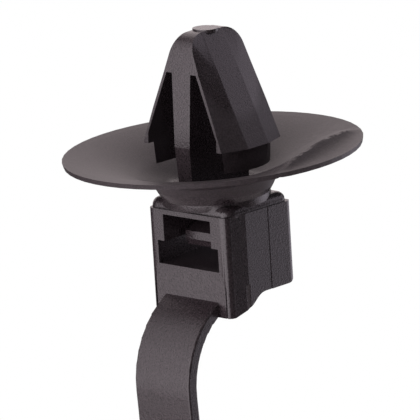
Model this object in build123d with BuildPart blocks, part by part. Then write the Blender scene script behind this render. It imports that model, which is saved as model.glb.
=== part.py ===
from build123d import *
from math import cos, radians, sin
import os

# One moulded cable tie. +Z is the axis of the anchor, which points up into its panel hole. The origin lies on that
# axis, at the level of the disc's rim. The strap leaves the head toward -Y. All sizes are in millimetres.

# Disc, dished upward so that its rim presses on the panel
disc_radius = 9.55
disc_edge = 0.32
dish_depth = 1.45
dish_bow = 0.26
dish_mouth_radius = 4.5
floor_depth = 2.3
floor_radius = 2.95
disc_web = 0.45
disc_tilt = 1.75
tilt_way = 58.0

# Boss and neck under the disc
boss_radius = 3.8
boss_depth = 0.75
boss_edge = 0.12
neck_radius = 3.45
neck_depth = 0.3

# Arrowhead
arrow_height = 7.6
barb_height = 0.5
slot_top = 5.2
rib_half = 0.9
rib_tip = 3.97
rib_shoulder = 1.5
rib_crest = 0.32
rib_proud = 0.14
rib_draft = 0.08
edge_tip = 3.28
edge_shoulder = 1.51
edge_crest = 0.55
post_foot_depth = 2.62
post_depth = 2.76
post_shoulder_depth = 2.45
crown_depth = 2.2
post_foot = 0.55
post_shoulder = 0.78
wing_edge = 0.25
wing_knee_height = 1.2
wing_inner = 2.92
skirt_radius = 3.7
skirt_taper = 0.08
skirt_end = -0.95
crown_round = 1.3
gate_radius = 0.75
gate_step = 0.09

# Head
head_half = 3.54
head_front = 2.8
head_back = 3.2
head_top = -3.68
head_bottom_back = -8.99
head_bottom_front = -10.17
head_back_lean = 0.13
head_corner = 0.6
side_seam = 1.0
side_seam_step = 0.04
cheek_run = 1.7
cheek_bevel = 0.2
step_top = -8.27
step_run = 1.8
step_inset = 0.07
pad_corner = 0.7
pad_half = 3.45
pad_front = 2.6
pad_back = 3.12
pad_height = 0.6
pad_round = 0.5

# Strap
strap_width = 4.65
strap_thickness = 0.8
curl_radius = 5.5
curl_centre_a = 0.06
curl_centre_z = -14.47
curl_start = 84.0
curl_past = 4.0
relax_radius = 60.0
tail_length = 140.0
track_thickness = 1.15
track_width = 3.1
track_depth = 0.5
tooth_pitch = 1.1
tooth_height = 0.38
track_lead = 12.0
tip_length = 14.0
tip_width = 2.3
plain_tip = 11.0

# Slot, window and pawl
slot_clearance = 0.26
slot_height = 1.54
slot_floor = -7.27
slot_floor_rise = 0.3
window_half = 2.02
window_top = -3.99
pocket_back = 1.75
pawl_clearance = 0.26
pawl_end = 1.1
pawl_tip_top = -5.35
pawl_tip = 0.52
pawl_tooth = 0.42
pawl_tooth_pitch = 0.62
pawl_hinge = 0.72
chin_half = 2.95
chin_inset = 0.07
chin_groove = 0.1
chin_groove_depth = 0.3
chin_groove_top = -8.17

# Side view: local x runs along -Y, the strap's side, and local y is Z
side = Plane((0, 0, 0), x_dir=(0, -1, 0), z_dir=(-1, 0, 0))
# Front view: local x is X and local y is Z
front = Plane.XZ

# The arrowhead: a proud rib down the middle of each wing, and flanks that run from its foot to the thin wing edges
crest = arrow_height + 0.3
rib_outline = [
    (-rib_crest, crest),
    (-rib_shoulder, slot_top),
    (-rib_tip, barb_height),
    (rib_tip, barb_height),
    (rib_shoulder, slot_top),
    (rib_crest, crest),
]
foot_outline = [
    (-(rib_crest - rib_proud), crest),
    (-(rib_shoulder - rib_proud), slot_top),
    (-(rib_tip - rib_proud), barb_height),
    (rib_tip - rib_proud, barb_height),
    (rib_shoulder - rib_proud, slot_top),
    (rib_crest - rib_proud, crest),
]
edge_outline = [
    (-edge_crest, crest),
    (-edge_shoulder, slot_top),
    (-edge_tip, barb_height),
    (edge_tip, barb_height),
    (edge_shoulder, slot_top),
    (edge_crest, crest),
]
flank_end = post_depth + 0.2

with BuildPart() as wings:
    with BuildSketch(front) as rib:
        Polygon(*rib_outline, align=None)
    extrude(amount=rib_half, both=True)
    for way in (1, -1):
        with BuildSketch(front.offset(way * rib_half)) as rib_side:
            Polygon(*rib_outline, align=None)
        with BuildSketch(front.offset(way * (rib_half + rib_draft))) as rib_foot:
            Polygon(*foot_outline, align=None)
        loft(ruled=True)
        with BuildSketch(front.offset(way * (rib_half + rib_draft))) as flank_root:
            Polygon(*foot_outline, align=None)
        with BuildSketch(front.offset(way * flank_end)) as flank_edge:
            Polygon(*edge_outline, align=None)
        loft(ruled=True)
    # the second step, round in plan, hangs below the barb
    with BuildSketch(front) as skirt:
        with BuildLine():
            Polyline(
                (0, barb_height + 0.4),
                (skirt_radius, barb_height + 0.4),
                (skirt_radius, barb_height),
                (skirt_radius - skirt_taper, skirt_end),
                (0, skirt_end),
                close=True,
            )
        make_face()
    revolve(axis=Axis.Z)
    # one slot on each side parts a wing from the post
    with BuildSketch(front) as slots:
        with BuildLine():
            Polyline(
                (post_foot, skirt_end - 1),
                (post_shoulder, slot_top),
                (edge_shoulder - wing_edge, slot_top),
                (wing_inner, wing_knee_height),
                (wing_inner, skirt_end - 1),
                close=True,
            )
        make_face()
        mirror(about=Plane.YZ)
    extrude(amount=flank_end + 2, both=True, mode=Mode.SUBTRACT)

with BuildPart() as core:
    # the post between the wings, which runs down to the dish
    with BuildSketch(front) as post:
        with BuildLine():
            Polyline(
                (-post_foot, -floor_depth - 0.1),
                (post_foot, -floor_depth - 0.1),
                (post_shoulder, slot_top + 0.5),
                (-post_shoulder, slot_top + 0.5),
                close=True,
            )
        make_face()
    extrude(amount=flank_end, both=True)

with BuildPart() as arrow:
    add(wings.part)
    add(core.part)
    # the plane front and back faces lean in towards the top and roll over into the crown
    with BuildSketch(side) as lean:
        with BuildLine():
            Polyline(
                (-post_foot_depth, -floor_depth - 0.1),
                (post_foot_depth, -floor_depth - 0.1),
                (post_depth, barb_height),
                (post_shoulder_depth, slot_top),
                (crown_depth, arrow_height),
                (-crown_depth, arrow_height),
                (-post_shoulder_depth, slot_top),
                (-post_depth, barb_height),
                close=True,
            )
        make_face()
        fillet(lean.vertices().group_by(Axis.Y)[-1], crown_round)
    extrude(amount=rib_tip + 2, both=True, mode=Mode.INTERSECT)
    # gate mark at the very top
    with BuildSketch(Plane.XY.offset(arrow_height - 0.1)) as gate:
        Circle(gate_radius)
    extrude(amount=0.1 + gate_step)

# The disc with the boss and neck under it, raised a little on one side as it comes from the mould
raised = (cos(radians(tilt_way)), sin(radians(tilt_way)))
rise = sin(radians(disc_tilt))
reach = cos(radians(disc_tilt))
tilted = Plane((0, 0, 0), x_dir=(raised[0] * reach, raised[1] * reach, rise), z_dir=(raised[1], -raised[0], 0))
with BuildPart() as disc:
    with BuildSketch(tilted) as dish:
        with BuildLine():
            rim_mid = (dish_mouth_radius + disc_radius) / 2
            top_mid = -dish_depth / 2 + dish_bow
            Polyline((0, -floor_depth), (floor_radius, -floor_depth), (dish_mouth_radius, -dish_depth))
            ThreePointArc((dish_mouth_radius, -dish_depth), (rim_mid, top_mid), (disc_radius, 0))
            Line((disc_radius, 0), (disc_radius - disc_edge / 4, -disc_edge))
            under = -dish_depth - disc_web
            ThreePointArc(
                (disc_radius - disc_edge / 4, -disc_edge),
                (rim_mid, top_mid - (disc_edge + disc_web) / 2),
                (boss_radius, under),
            )
            Polyline(
                (boss_radius, under),
                (boss_radius, under - boss_depth + boss_edge),
                (boss_radius - boss_edge, under - boss_depth),
                (neck_radius, under - boss_depth - neck_depth),
                (neck_radius, head_top + pad_height / 2),
                (0, head_top + pad_height / 2),
                (0, -floor_depth),
            )
        make_face()
    revolve(axis=Axis((0, 0, 0), tilted.y_dir))

# The head's block, with its side walls and inset cheeks
with BuildPart() as head:
    with BuildSketch(Plane.XY.offset(head_top)) as plan:
        with BuildLine():
            wall = head_half - side_seam_step
            cheek = head_front - cheek_run
            Polyline(
                (0, -head_front),
                (wall - cheek_bevel, -head_front),
                (wall, -cheek),
                (wall, side_seam),
                (head_half, side_seam),
                (head_half, head_back + head_back_lean),
                (0, head_back + head_back_lean),
                (0, -head_front),
            )
        make_face()
        mirror(about=Plane.YZ)
    extrude(amount=head_bottom_front - head_top - 0.5)
    corners = head.edges().filter_by(Axis.Z).group_by(Axis.Y)
    fillet(corners[0] + corners[-1], head_corner)
    # outline from the side: a leaning back and a bottom that steps down to the front
    with BuildSketch(side) as outline:
        with BuildLine():
            back = -head_back
            low_back = head_bottom_back
            low_front = head_bottom_front
            Polyline(
                (back - head_back_lean, low_back + 0.9),
                (back, head_top),
                (head_front, head_top),
                (head_front, low_front),
                (head_front - 0.5, low_front),
            )
            Spline(
                (head_front - 0.5, low_front),
                (0.72, (low_back + low_front) / 2 + 0.02),
                (-0.45, low_back),
                tangents=[(-1, 0.25), (-1, 0)],
            )
            Line((-0.45, low_back), (back + 0.7, low_back))
            ThreePointArc(
                (back + 0.7, low_back),
                (back + 0.1, low_back + 0.22),
                (back - head_back_lean, low_back + 0.9),
            )
        make_face()
    extrude(amount=head_half + 1, both=True, mode=Mode.INTERSECT)
    # stepped-in front of each side wall, low down
    for way in (1, -1):
        with BuildSketch(side.offset(way * (head_half - step_inset))) as step:
            with BuildLine():
                run = head_front - step_run
                Polyline(
                    (run, step_top),
                    (head_front + 1, step_top),
                    (head_front + 1, low_front - 1),
                    (run, low_front - 1),
                    close=True,
                )
            make_face()
        extrude(amount=way * 2, mode=Mode.SUBTRACT)
    # raised pad on top, below the neck
    with BuildSketch(Plane.XY.offset(head_top - 0.1)) as pad_plan:
        with Locations((0, (pad_back - pad_front) / 2)):
            RectangleRounded(2 * pad_half, pad_front + pad_back, pad_corner)
    extrude(amount=pad_height + 0.1)
    fillet(head.edges().group_by(Axis.Z)[-1], pad_round)

# Window, strap slot and pawl pocket, all open along Y
slot_half = strap_width / 2 + slot_clearance
slot_top_z = slot_floor + slot_height
with BuildPart() as passage:
    with BuildSketch(side) as slot:
        with BuildLine():
            Polyline(
                (head_front + 1, slot_floor),
                (head_front + 1, slot_top_z),
                (-head_back - 1, slot_top_z),
                (-head_back - 1, slot_floor + slot_floor_rise - 0.3),
                (-head_back + 0.5, slot_floor + slot_floor_rise),
                (0, slot_floor + slot_floor_rise / 2),
                (head_front + 1, slot_floor),
                close=False,
            )
        make_face()
    extrude(amount=slot_half, both=True)
    with BuildSketch(side) as pocket:
        with BuildLine():
            Polyline(
                (head_front + 1, window_top),
                (head_front + 1, slot_top_z - 0.1),
                (-pocket_back, slot_top_z - 0.1),
                (-pocket_back, window_top),
                close=True,
            )
        make_face()
    extrude(amount=window_half, both=True)

# The pawl hangs from the back of its pocket and points to the front, with teeth on its underside
with BuildPart() as pawl:
    with BuildSketch(side) as finger:
        with BuildLine():
            tip_low = pawl_tip_top - pawl_tip
            first = pawl_end - 0.2
            second = first - pawl_tooth_pitch
            Polyline(
                (-pocket_back - 0.3, window_top - 0.25),
                (pawl_end, pawl_tip_top),
                (pawl_end, tip_low),
                (first, tip_low - pawl_tooth),
                (second, tip_low - 0.05),
                (second, tip_low - pawl_tooth),
                (second - pawl_tooth_pitch, tip_low - 0.05),
                (-pocket_back, window_top - 0.25 - pawl_hinge),
                (-pocket_back - 0.3, window_top - 0.25 - pawl_hinge),
                close=True,
            )
        make_face()
    extrude(amount=window_half - pawl_clearance, both=True)

# The strap: a curl under the head, a slack curve back, then the straight tail
curl_turn = curl_start + curl_past
start_a = curl_centre_a + curl_radius * cos(radians(curl_start))
start_z = curl_centre_z + curl_radius * sin(radians(curl_start))
start_way = (sin(radians(curl_start)), -cos(radians(curl_start)))
strap_half = strap_width / 2

with BuildPart() as strap:
    with BuildLine(side) as run:
        curl = JernArc((start_a, start_z), start_way, curl_radius, -curl_turn)
        slack = JernArc(curl @ 1, curl % 1, relax_radius, curl_past)
        tail = Line(slack @ 1, (slack @ 1) + (slack % 1) * tail_length)
    with BuildSketch(Plane(curl @ 0, x_dir=(1, 0, 0), z_dir=curl % 0)) as band:
        RectangleRounded(strap_width, strap_thickness, 0.12)
    sweep(path=run.wires()[0])
    # the toothed track is thicker, on the outer face only
    tail_a = -(tail @ 0).Y
    inner_a = tail_a - strap_thickness / 2
    outer_a = inner_a + track_thickness
    track_start = (tail @ 0).Z - track_lead
    track_end = (tail @ 1).Z + plain_tip
    with BuildSketch(side) as rails:
        with BuildLine():
            Polyline(
                (tail_a, track_start + 1.4),
                (inner_a + strap_thickness - 0.05, track_start + 1.4),
                (outer_a, track_start),
                (outer_a, track_end),
                (inner_a + strap_thickness - 0.05, track_end - 1.4),
                (tail_a, track_end - 1.4),
                close=True,
            )
        make_face()
    extrude(amount=strap_half, both=True)
    # teeth: steep towards the head, sloping towards the tip
    teeth = int((track_start - track_end - 1.5) / tooth_pitch)
    floor_a = outer_a - track_depth
    first_z = track_start - 0.8
    notch = [(outer_a + 1, first_z)]
    for n in range(teeth):
        notch.append((floor_a, first_z - n * tooth_pitch))
        notch.append((floor_a + tooth_height, first_z - n * tooth_pitch - 0.15))
    notch.append((floor_a, first_z - teeth * tooth_pitch))
    notch.append((outer_a + 1, first_z - teeth * tooth_pitch))
    with BuildSketch(side) as teeth_side:
        Polygon(*notch, align=None)
    extrude(amount=track_width / 2, both=True, mode=Mode.SUBTRACT)
    # the tip narrows
    tip_z = (tail @ 1).Z
    for way in (1, -1):
        with BuildSketch(front) as trim:
            Polygon(
                (way * (strap_half + 1), tip_z + tip_length),
                (way * (strap_half + 0.01), tip_z + tip_length),
                (way * tip_width / 2, tip_z + 0.6),
                (way * (tip_width / 2 - 0.5), tip_z),
                (way * (tip_width / 2 - 0.5), tip_z - 1),
                (way * (strap_half + 1), tip_z - 1),
                align=None,
            )
        extrude(amount=tail_a + track_thickness + 2, both=True, mode=Mode.SUBTRACT)

# The whole tie
with BuildPart() as cable_tie:
    add(head.part)
    add(passage.part, mode=Mode.SUBTRACT)
    # the chin stands a little back between the side walls, and each wall's front edge is set off by a groove
    for way in (1, -1):
        with BuildSketch(front.offset(head_front - chin_groove_depth)) as groove:
            Polygon(
                (way * chin_half, chin_groove_top),
                (way * (chin_half + chin_groove), chin_groove_top),
                (way * (chin_half + chin_groove), head_bottom_front - 1),
                (way * chin_half, head_bottom_front - 1),
                align=None,
            )
        extrude(amount=chin_groove_depth + 1, mode=Mode.SUBTRACT)
    with BuildSketch(front.offset(head_front - chin_inset)) as chin:
        Polygon(
            (-chin_half, slot_floor - 0.2),
            (chin_half, slot_floor - 0.2),
            (chin_half, head_bottom_front - 1),
            (-chin_half, head_bottom_front - 1),
            align=None,
        )
    extrude(amount=1, mode=Mode.SUBTRACT)
    add(pawl.part)
    add(disc.part)
    add(arrow.part)
    add(strap.part)

cable_tie.part.label = "cable_tie"
os.makedirs("parts", exist_ok=True)
export_step(cable_tie.part, "parts/cable_tie.step")
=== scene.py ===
import bpy, bmesh, math
from mathutils import Vector, Matrix


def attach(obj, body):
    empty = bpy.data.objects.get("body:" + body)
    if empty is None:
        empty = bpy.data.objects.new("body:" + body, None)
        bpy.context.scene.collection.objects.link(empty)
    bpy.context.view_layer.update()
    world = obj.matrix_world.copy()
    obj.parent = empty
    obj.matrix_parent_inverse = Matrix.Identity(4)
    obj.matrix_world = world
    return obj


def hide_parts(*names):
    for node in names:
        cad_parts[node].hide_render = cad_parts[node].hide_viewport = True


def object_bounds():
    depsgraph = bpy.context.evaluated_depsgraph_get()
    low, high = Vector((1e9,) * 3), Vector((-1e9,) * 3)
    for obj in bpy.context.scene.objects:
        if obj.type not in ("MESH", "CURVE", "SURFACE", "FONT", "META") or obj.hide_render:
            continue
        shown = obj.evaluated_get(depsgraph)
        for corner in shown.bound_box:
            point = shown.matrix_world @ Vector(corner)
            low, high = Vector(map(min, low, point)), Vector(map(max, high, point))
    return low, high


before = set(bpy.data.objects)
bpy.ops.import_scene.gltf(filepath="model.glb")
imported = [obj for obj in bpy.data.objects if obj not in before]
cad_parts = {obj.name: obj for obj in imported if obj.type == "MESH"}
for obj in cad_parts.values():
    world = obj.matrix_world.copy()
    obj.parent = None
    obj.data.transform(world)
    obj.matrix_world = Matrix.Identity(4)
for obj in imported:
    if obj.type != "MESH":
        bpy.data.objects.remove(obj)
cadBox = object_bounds()
print("loaded the packed tie")

mm = 0.001


def hexColour(text):
    parts = [int(text[i:i + 2], 16) / 255 for i in (1, 3, 5)]
    return [c / 12.92 if c <= 0.04045 else ((c + 0.055) / 1.055) ** 2.4 for c in parts] + [1.0]


def addNode(tree, kind, links=None, **settings):
    node = tree.nodes.new(kind)
    for name, value in settings.items():
        if name in node.inputs:
            node.inputs[name].default_value = value
        else:
            setattr(node, name, value)
    for name, source in (links or {}).items():
        tree.links.new(source, node.inputs[name])
    return node


# nylon 66, injection moulded in a spark-eroded mould and coloured with carbon black:
# deep warm black, a satin sheen, and a fine pebbled grain that breaks up the reflections
nylon = dict(
    name="blackNylon66Moulded",
    colour="#1e191b",
    paleColour="#3b3437",
    pebbleLow=0.32,         # noise levels between which the grain turns from dark to pale
    pebbleHigh=0.68,
    roughness=0.2,
    roughnessSpread=0.04,
    ior=1.53,
    specular=0.5,
    grain=0.1 * mm,         # real spark-eroded grain is nearer 0.05 mm, drawn coarser so that it shows
    grainDepth=0.014 * mm,
    mottle=1.1 * mm,        # slow change in sheen from the way the melt flowed
    webRoughness=0.46,      # the disc's thin web comes out of the mould duller than the rest
    webFrom=3.1 * mm,       # radius outside which the web lies
    webFade=0.2 * mm,
    webBottom=-2.5 * mm,    # height above which the web lies
)


def makeNylon(values):
    mat = bpy.data.materials.new(values["name"])
    mat.use_nodes = True
    tree = mat.node_tree
    tree.nodes.clear()
    coords = addNode(tree, "ShaderNodeTexCoord")
    grain = addNode(tree, "ShaderNodeTexNoise", {"Vector": coords.outputs["Object"]},
                    Scale=1 / values["grain"], Detail=2.0, Roughness=0.55)
    mottle = addNode(tree, "ShaderNodeTexNoise", {"Vector": coords.outputs["Object"]},
                     Scale=1 / values["mottle"], Detail=3.0, Roughness=0.6)
    pebbles = addNode(tree, "ShaderNodeMapRange", {"Value": grain.outputs["Fac"]},
                      **{"From Min": values["pebbleLow"], "From Max": values["pebbleHigh"]})
    colour = addNode(tree, "ShaderNodeMix", {"Factor": pebbles.outputs["Result"]}, data_type="RGBA")
    colour.inputs[6].default_value = hexColour(values["colour"])
    colour.inputs[7].default_value = hexColour(values["paleColour"])
    rough = addNode(tree, "ShaderNodeMapRange", {"Value": mottle.outputs["Fac"]},
                    **{"To Min": values["roughness"] - values["roughnessSpread"],
                       "To Max": values["roughness"] + values["roughnessSpread"]})
    # how far a point belongs to the disc's web, by its distance from the axis and its height
    place = addNode(tree, "ShaderNodeSeparateXYZ", {"Vector": coords.outputs["Object"]})
    plan = addNode(tree, "ShaderNodeCombineXYZ", {"X": place.outputs["X"], "Y": place.outputs["Y"]})
    radius = addNode(tree, "ShaderNodeVectorMath", {0: plan.outputs["Vector"]}, operation="LENGTH")
    onWeb = addNode(tree, "ShaderNodeMapRange", {"Value": radius.outputs["Value"]},
                    **{"From Min": values["webFrom"] - values["webFade"],
                       "From Max": values["webFrom"] + values["webFade"]})
    aboveHead = addNode(tree, "ShaderNodeMath", {0: place.outputs["Z"]}, operation="GREATER_THAN")
    aboveHead.inputs[1].default_value = values["webBottom"]
    web = addNode(tree, "ShaderNodeMath", {0: onWeb.outputs["Result"], 1: aboveHead.outputs[0]},
                  operation="MULTIPLY")
    dulled = addNode(tree, "ShaderNodeMix", {"Factor": web.outputs[0], "A": rough.outputs["Result"]},
                     B=values["webRoughness"])
    bump = addNode(tree, "ShaderNodeBump", {"Height": grain.outputs["Fac"]},
                   Strength=1.0, Distance=values["grainDepth"])
    skin = addNode(tree, "ShaderNodeBsdfPrincipled", {
        "Base Color": colour.outputs[2],
        "Roughness": dulled.outputs["Result"],
        "Normal": bump.outputs["Normal"],
    }, **{"IOR": values["ior"], "Specular IOR Level": values["specular"]})
    addNode(tree, "ShaderNodeOutputMaterial", {"Surface": skin.outputs["BSDF"]})
    return mat


blackNylon = makeNylon(nylon)
print("made the nylon")

# the moulding, its edges just broken as a worn mould leaves them
moulding = dict(
    edgeBreak=0.045 * mm,
    segments=2,
    sharpest=24.0,          # degrees of turn from which an edge is broken
    weld=0.0005 * mm,
    flatWithin=0.6,         # degrees between faces that are one flat face
    hardEdge=28.0,          # degrees of turn from which the shading breaks at an edge
)

# the disc's web is buckled on one side: a low ridge along a chord, from which the lip falls to the rim
buckle = dict(
    bearing=15.0,           # degrees from +X to the middle of the chord
    rimRadius=9.55 * mm,
    webFrom=4.6 * mm,       # the faces that move lie outside this radius, their corners nearly so
    cornerShare=0.85,
    webBottom=-2.4 * mm,
    ridgeAt=7.6 * mm,
    riseFrom=4.2 * mm,
    riseMargin=0.6 * mm,
    chordMargin=1.05,
    height=0.95 * mm,
    lipCurve=2.4,
    leastLip=0.05 * mm,
    softness=0.09,          # how much the top of the ridge is rounded, as a share of its height
    cut=0.22 * mm,          # spacing of the cuts that let the web bend
    snap=1e-6 * mm,
)


def buckleDisc(shell, values):
    a = math.radians(values["bearing"])
    outward, along = Vector((math.cos(a), math.sin(a), 0)), Vector((-math.sin(a), math.cos(a), 0))
    rim, ridge, rise = values["rimRadius"], values["ridgeAt"], values["riseFrom"]
    halfChord = math.sqrt(rim ** 2 - ridge ** 2)
    chordEnd = halfChord * values["chordMargin"]
    leastCorner = values["webFrom"] * values["cornerShare"]

    def webFaces():
        found = []
        for face in shell.faces:
            middle = face.calc_center_median()
            if middle.xy.length <= values["webFrom"] or middle.dot(outward) <= rise - values["riseMargin"]:
                continue
            if all(v.co.z > values["webBottom"] and v.co.xy.length > leastCorner for v in face.verts):
                found.append(face)
        return found

    for way, low, high in ((outward, rise, rim), (along, -chordEnd, chordEnd)):
        for n in range(int((high - low) / values["cut"])):
            faces = webFaces()
            edges = list({e for f in faces for e in f.edges})
            verts = list({v for f in faces for v in f.verts})
            bmesh.ops.bisect_plane(shell, geom=faces + edges + verts, dist=values["snap"],
                                   plane_co=way * (low + n * values["cut"]), plane_no=way)
    faces = webFaces()
    points = {v for f in faces for v in f.verts}
    bmesh.ops.triangulate(shell, faces=faces)
    for v in points:
        s, t = v.co.dot(outward), v.co.dot(along)
        if s <= rise or abs(t) >= halfChord:
            continue
        edge = math.sqrt(max(rim ** 2 - t ** 2, ridge ** 2))
        inner = ((s - rise) / (ridge - rise)) ** 2
        outer = max((edge - s) / max(edge - ridge, values["leastLip"]), 0) ** values["lipCurve"]
        # the lower of the two slopes, rounded where they meet
        k = values["softness"]
        blend = max(k - abs(inner - outer), 0) / k
        share = min(inner, outer) - blend * blend * k / 4
        v.co.z += values["height"] * max(share, 0) * (1 - (t / halfChord) ** 2)


# the wings' flanks turn a little to the front and back, most of all where the slots end
flanks = dict(
    barb=0.5 * mm,
    slotTop=5.2 * mm,
    crown=9.0 * mm,         # height at which the turn would have faded out
    shareSlack=0.01,
    ribSide=0.98 * mm,
    face=2.6 * mm,
    ribOut=0.26 * mm,       # how far the flank moves out beside the rib
    faceIn=0.04 * mm,       # and in, at the wing's front and back faces
    footOut=0.14 * mm,
    slotOuter=1.26 * mm,
    slotSpread=0.415,
    skin=0.04 * mm,
    middle=0.4 * mm,        # half the width over which the turn fades at the crown's middle
)


def turnFlanks(shell, values):
    low, mid, top = values["barb"], values["slotTop"], values["crown"]
    for v in shell.verts:
        x, y, z = abs(v.co.x), abs(v.co.y), v.co.z
        share = (z - low) / (mid - low) if z < mid else (top - z) / (top - mid)
        slotWall = values["slotOuter"] + (mid - z) * values["slotSpread"] + values["skin"]
        if share < -values["shareSlack"] or (z < mid + values["skin"] and x < slotWall):
            continue
        outwards = (y - values["ribSide"]) / (values["face"] - values["ribSide"])
        outwards = min(max(outwards, 0), 1)
        shift = (values["ribOut"] - (values["ribOut"] + values["faceIn"]) * outwards) * share
        if y > values["ribSide"] - values["skin"]:
            shift += values["footOut"] * (1 - outwards)
        v.co.x += math.copysign(shift * min(x / values["middle"], 1), v.co.x)


# the head's front corners are a little squarer than a plain radius
corners = dict(
    x=2.77 * mm,            # middle of each corner's radius
    y=-2.2 * mm,
    top=-3.6 * mm,
    squareness=2.6,         # 2 is a plain radius
    leastReach=0.3 * mm,
)


def squareCorners(shell, values):
    p = values["squareness"]
    for v in shell.verts:
        dx, dy = abs(v.co.x) - values["x"], values["y"] - v.co.y
        if dx <= 0 or dy <= 0 or v.co.z > values["top"] or dx + dy < values["leastReach"]:
            continue
        grow = math.hypot(dx, dy) / (dx ** p + dy ** p) ** (1 / p)
        v.co.x = math.copysign(values["x"] + dx * grow, v.co.x)
        v.co.y = values["y"] - dy * grow


# the boss under the disc widens up into the disc as a cone
flare = dict(
    foot=-2.95 * mm,
    top=-1.7 * mm,
    inner=3.4 * mm,         # radii between which the boss's wall lies
    outer=3.95 * mm,
    footRadius=3.45 * mm,
    spread=0.6,             # how much the radius grows for each millimetre up
    lift=0.12 * mm,         # the cone's upper edge also rises by this into the disc
    liftFrom=1.03,          # where the radius has grown at least so many times
)


def flareBoss(shell, values):
    for v in shell.verts:
        radius, height = v.co.xy.length, v.co.z - values["foot"]
        if values["inner"] < radius < values["outer"] and 0 < height < values["top"] - values["foot"]:
            grow = (values["footRadius"] + height * values["spread"]) / radius
            v.co.x *= grow
            v.co.y *= grow
            v.co.z += values["lift"] if grow > values["liftFrom"] else 0


def makeMoulding(values):
    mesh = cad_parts["cable_tie"].data.copy()
    mesh.name = "mouldedTie"
    shell = bmesh.new()
    shell.from_mesh(mesh)
    bmesh.ops.remove_doubles(shell, verts=shell.verts, dist=values["weld"])
    bmesh.ops.dissolve_limit(shell, angle_limit=math.radians(values["flatWithin"]),
                             verts=shell.verts, edges=shell.edges)
    turnFlanks(shell, flanks)
    squareCorners(shell, corners)
    flareBoss(shell, flare)
    buckleDisc(shell, buckle)
    shell.to_mesh(mesh)
    shell.free()
    tie = bpy.data.objects.new("mouldedTie", mesh)
    bpy.context.scene.collection.objects.link(tie)
    bevel = tie.modifiers.new("brokenEdges", "BEVEL")
    bevel.width = values["edgeBreak"]
    bevel.segments = values["segments"]
    bevel.limit_method = "ANGLE"
    bevel.angle_limit = math.radians(values["sharpest"])
    mesh.materials.clear()
    mesh.materials.append(blackNylon)
    for face in mesh.polygons:
        face.use_smooth = True
    mesh.set_sharp_from_angle(angle=math.radians(values["hardEdge"]))
    flats = tie.modifiers.new("flatFaces", "WEIGHTED_NORMAL")
    flats.keep_sharp = True
    return tie


tie = makeMoulding(moulding)
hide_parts("cable_tie")
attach(tie, "root")
print("made the moulding,", len(tie.data.polygons), "faces")

# camera, at the photograph's view: angles in degrees, lengths in millimetres
view = dict(
    azimuth=43.5,
    elevation=13.5,
    roll=-3.5,
    aimHeight=-5.0,         # the point on the anchor's axis that shows at aimX, aimY
    aimX=217.1,
    aimY=224.0,
    pxPerMm=15.8,
    distance=300.0,
    side=420,               # pixels
    sensor=36.0,
    clip=(1.0, 10000.0),
)


def placeCamera(values):
    a, e, r = (math.radians(values[k]) for k in ("azimuth", "elevation", "roll"))
    back = Vector((math.sin(a) * math.cos(e), -math.cos(a) * math.cos(e), math.sin(e)))
    right = Vector((math.cos(a), math.sin(a), 0))
    up = back.cross(right)
    tiltedRight = right * math.cos(r) + up * math.sin(r)
    tiltedUp = up * math.cos(r) - right * math.sin(r)
    half = values["side"] / 2
    place = Vector((0, 0, values["aimHeight"])) + back * values["distance"]
    place -= tiltedRight * (values["aimX"] - half) / values["pxPerMm"]
    place += tiltedUp * (values["aimY"] - half) / values["pxPerMm"]
    lens = bpy.data.cameras.new("photoView")
    lens.sensor_width = values["sensor"]
    lens.lens = values["pxPerMm"] * values["distance"] * values["sensor"] / values["side"]
    lens.clip_start, lens.clip_end = (c * mm for c in values["clip"])
    camera = bpy.data.objects.new("photoView", lens)
    camera.matrix_world = Matrix((
        (tiltedRight.x, tiltedUp.x, back.x, place.x * mm),
        (tiltedRight.y, tiltedUp.y, back.y, place.y * mm),
        (tiltedRight.z, tiltedUp.z, back.z, place.z * mm),
        (0, 0, 0, 1),
    ))
    bpy.context.scene.collection.objects.link(camera)
    bpy.context.scene.camera = camera


placeCamera(view)
print("placed the camera")

# studio: soft light from the left, panels at the right and behind, and a dark room between them
studio = dict(
    white="#ffffff",
    floorColour="#c6c3c3",
    floorSize=0.6,
    floorDrop=0.5 * mm,
    floorWhite=0.75,        # share of plain white round the tie, the rest shows its shadow
    floorFadeFrom=0.04,     # from here out the floor turns wholly white
    floorFadeTo=0.27,
    lights=[
        # name, degrees round from the camera (right is +), elevation, radius in full and to its edge,
        # tint, strength
        ("softboxLeft", -49, -6, 22, 54, "#fcf2f8", 2.7),
        ("wallRight", 120, -28, 22, 36, "#f6ecfa", 1.35),
        ("softboxUpper", -74, 38, 14, 34, "#fcf2f8", 1.5),
        ("panelHighRight", 112, 22, 18, 25, "#f6e8f8", 1.0),
        ("backdrop", 190, 20, 26, 38, "#fff0f2", 1.05),
        ("ceiling", 0, 90, 20, 55, "#fff2f6", 0.5),
    ],
    room=0.07,
)


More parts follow.
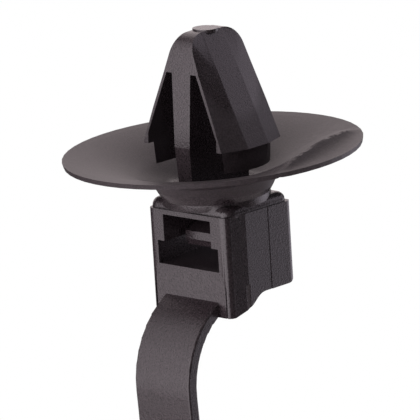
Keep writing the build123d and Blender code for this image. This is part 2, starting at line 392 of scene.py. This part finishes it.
def makeWorld(values):
    world = bpy.data.worlds.new("studio")
    bpy.context.scene.world = world
    world.use_nodes = True
    tree = world.node_tree
    tree.nodes.clear()
    way = addNode(tree, "ShaderNodeTexCoord").outputs["Generated"]
    total = None
    for name, turn, lift, full, edge, tint, strength in values["lights"]:
        a, e = math.radians(view["azimuth"] + turn), math.radians(lift)
        middle = (math.sin(a) * math.cos(e), -math.cos(a) * math.cos(e), math.sin(e))
        nearness = addNode(tree, "ShaderNodeVectorMath", {0: way}, operation="DOT_PRODUCT", label=name)
        nearness.inputs[1].default_value = middle
        level = addNode(tree, "ShaderNodeMapRange", {"Value": nearness.outputs["Value"]},
                        interpolation_type="SMOOTHSTEP",
                        **{"From Min": math.cos(math.radians(edge)), "From Max": math.cos(math.radians(full)),
                           "To Max": strength})
        light = addNode(tree, "ShaderNodeVectorMath", {"Scale": level.outputs["Result"]}, operation="SCALE")
        light.inputs[0].default_value = hexColour(tint)[:3]
        added = addNode(tree, "ShaderNodeVectorMath", {1: light.outputs["Vector"]}, operation="ADD")
        if total is None:
            added.inputs[0].default_value = (values["room"],) * 3
        else:
            tree.links.new(total, added.inputs[0])
        total = added.outputs["Vector"]
    # the camera sees plain white behind the tie, also through anything clear
    path = addNode(tree, "ShaderNodeLightPath")
    seen = addNode(tree, "ShaderNodeMath",
                   {0: path.outputs["Is Camera Ray"], 1: path.outputs["Is Transmission Ray"]},
                   operation="MAXIMUM")
    lit = addNode(tree, "ShaderNodeBackground", {"Color": total})
    white = addNode(tree, "ShaderNodeBackground", Color=hexColour(values["white"]))
    both = addNode(tree, "ShaderNodeMixShader",
                   {"Fac": seen.outputs[0], 1: lit.outputs[0], 2: white.outputs[0]})
    addNode(tree, "ShaderNodeOutputWorld", {"Surface": both.outputs[0]})


def makeFloor(values):
    low = cadBox[0][2]
    bpy.ops.mesh.primitive_plane_add(size=values["floorSize"], location=(0, 0, low - values["floorDrop"]))
    floor = bpy.context.object
    floor.name = "paleFloor"
    mat = bpy.data.materials.new("paleFloor")
    mat.use_nodes = True
    tree = mat.node_tree
    tree.nodes.clear()
    coords = addNode(tree, "ShaderNodeTexCoord")
    reach = addNode(tree, "ShaderNodeVectorMath", {0: coords.outputs["Object"]}, operation="LENGTH")
    fade = addNode(tree, "ShaderNodeMapRange", {"Value": reach.outputs["Value"]},
                   interpolation_type="SMOOTHSTEP",
                   **{"From Min": values["floorFadeFrom"], "From Max": values["floorFadeTo"],
                      "To Min": values["floorWhite"]})
    path = addNode(tree, "ShaderNodeLightPath")
    seen = addNode(tree, "ShaderNodeMath", {0: path.outputs["Is Camera Ray"], 1: fade.outputs["Result"]},
                   operation="MULTIPLY")
    matt = addNode(tree, "ShaderNodeBsdfDiffuse", Color=hexColour(values["floorColour"]))
    white = addNode(tree, "ShaderNodeEmission", Color=hexColour(values["white"]))
    both = addNode(tree, "ShaderNodeMixShader",
                   {"Fac": seen.outputs[0], 1: matt.outputs[0], 2: white.outputs[0]})
    addNode(tree, "ShaderNodeOutputMaterial", {"Surface": both.outputs[0]})
    floor.data.materials.append(mat)


makeWorld(studio)
makeFloor(studio)
bpy.context.scene.view_settings.view_transform = "Standard"
print("lit the studio")
